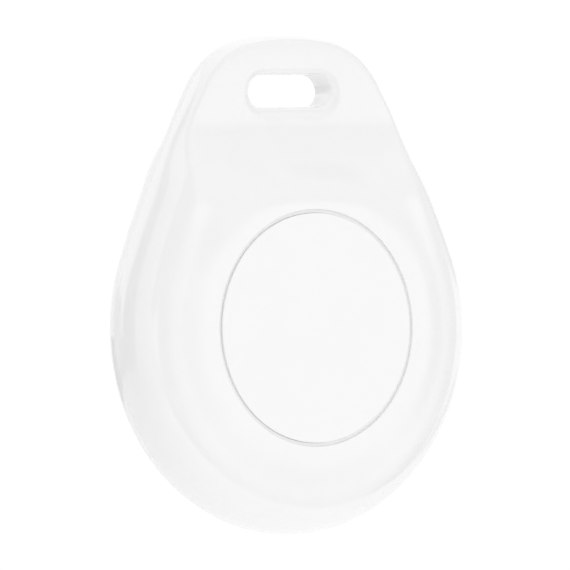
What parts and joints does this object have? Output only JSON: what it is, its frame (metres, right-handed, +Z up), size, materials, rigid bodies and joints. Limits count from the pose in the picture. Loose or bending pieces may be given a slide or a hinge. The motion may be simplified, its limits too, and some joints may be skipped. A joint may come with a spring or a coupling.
{
  "type": "bluetooth tracker tag",
  "caption": "Glossy white teardrop tracker tag with a keyring slot, a flush round push button, and a coin cell under a quarter-turn cover in the back.",
  "frame": {"origin": "middle of the keyring slot, on the plane where the two shells meet", "axes": "+Z up towards the slot end, -Y towards the front face with the button, +X to the right seen from the front"},
  "size_m": [0.0384, 0.0088, 0.0464],
  "materials": {
    "white_gloss": "glossy moulded plastic",
    "silicone": "translucent white silicone",
    "black_plastic": "moulded heat-resistant plastic",
    "grey_plastic": "fine moulded texture",
    "steel": "thin pressed sheet",
    "nickel_steel": "nickel-plated, lightly brushed",
    "screw_steel": "zinc-plated",
    "circuit_board": "green solder mask on glass-epoxy board",
    "chip_epoxy": "moulded epoxy",
    "white_ceramic": "fired ceramic",
    "capacitor_ceramic": "fired ceramic with tinned ends",
    "ferrite": "pressed ferrite",
    "brass": "rolled sheet",
    "copper": "enamelled copper winding",
    "contact_metal": "gold-plated spring bronze",
    "lithium": "dull lithium foil",
    "separator": "non-woven polypropylene",
    "cathode": "pressed manganese dioxide pellet"
  },
  "bodies": {
    "case": {"front_shell": "white_gloss", "rear_shell": "white_gloss", "case_seal": "silicone", "button_seal": "silicone", "switch_base": "black_plastic", "switch_frame": "steel", "switch_dome": "steel", "pcb": "circuit_board", "bluetooth_chip": "chip_epoxy", "main_crystal": "steel", "clock_crystal": "steel", "chip_antenna": "white_ceramic", "capacitors": "capacitor_ceramic", "resistors": "chip_epoxy", "power_inductor": "ferrite", "buzzer_case": "black_plastic", "buzzer_diaphragm": "brass", "buzzer_coil": "copper", "cell_can": "nickel_steel", "cell_cap": "nickel_steel", "cell_gasket": "black_plastic", "cell_anode": "lithium", "cell_separator": "separator", "cell_cathode": "cathode", "battery_holder": "grey_plastic", "positive_contact": "contact_metal", "negative_contact": "contact_metal", "holder_screws": "screw_steel"},
    "button": {"button_cap": "white_gloss"},
    "plunger": {"switch_plunger": "black_plastic"},
    "cover_lift": {"cover_seal": "silicone"},
    "cover": {"battery_cover": "white_gloss"}
  },
  "joints": [
    {"name": "button_press", "type": "slide", "parent": "case", "child": "button", "axis": [0, 1, 0], "range_m": [0, 0.00025], "stiffness_N_per_m": 400, "springref_m": -0.0005, "deforming": ["button_seal", "switch_dome"]},
    {"name": "switch_plunger_press", "type": "slide", "parent": "case", "child": "plunger", "axis": [0, 1, 0], "range_m": [0, 0.00025]},
    {"name": "battery_cover_lift", "type": "slide", "parent": "case", "child": "cover_lift", "axis": [0, 1, 0], "range_m": [0, 0.004]},
    {"name": "battery_cover_turn", "type": "hinge", "parent": "cover_lift", "child": "cover", "pos_m": [0, 0, -0.022], "axis": [0, 1, 0], "range_deg": [0, 90]}
  ],
  "couplings": [
    {"joint": "switch_plunger_press", "follows": "button_press", "ratio": 1},
    {"joint": "battery_cover_lift", "follows": "battery_cover_turn", "m_per_rad": 0.0025465}
  ]
}
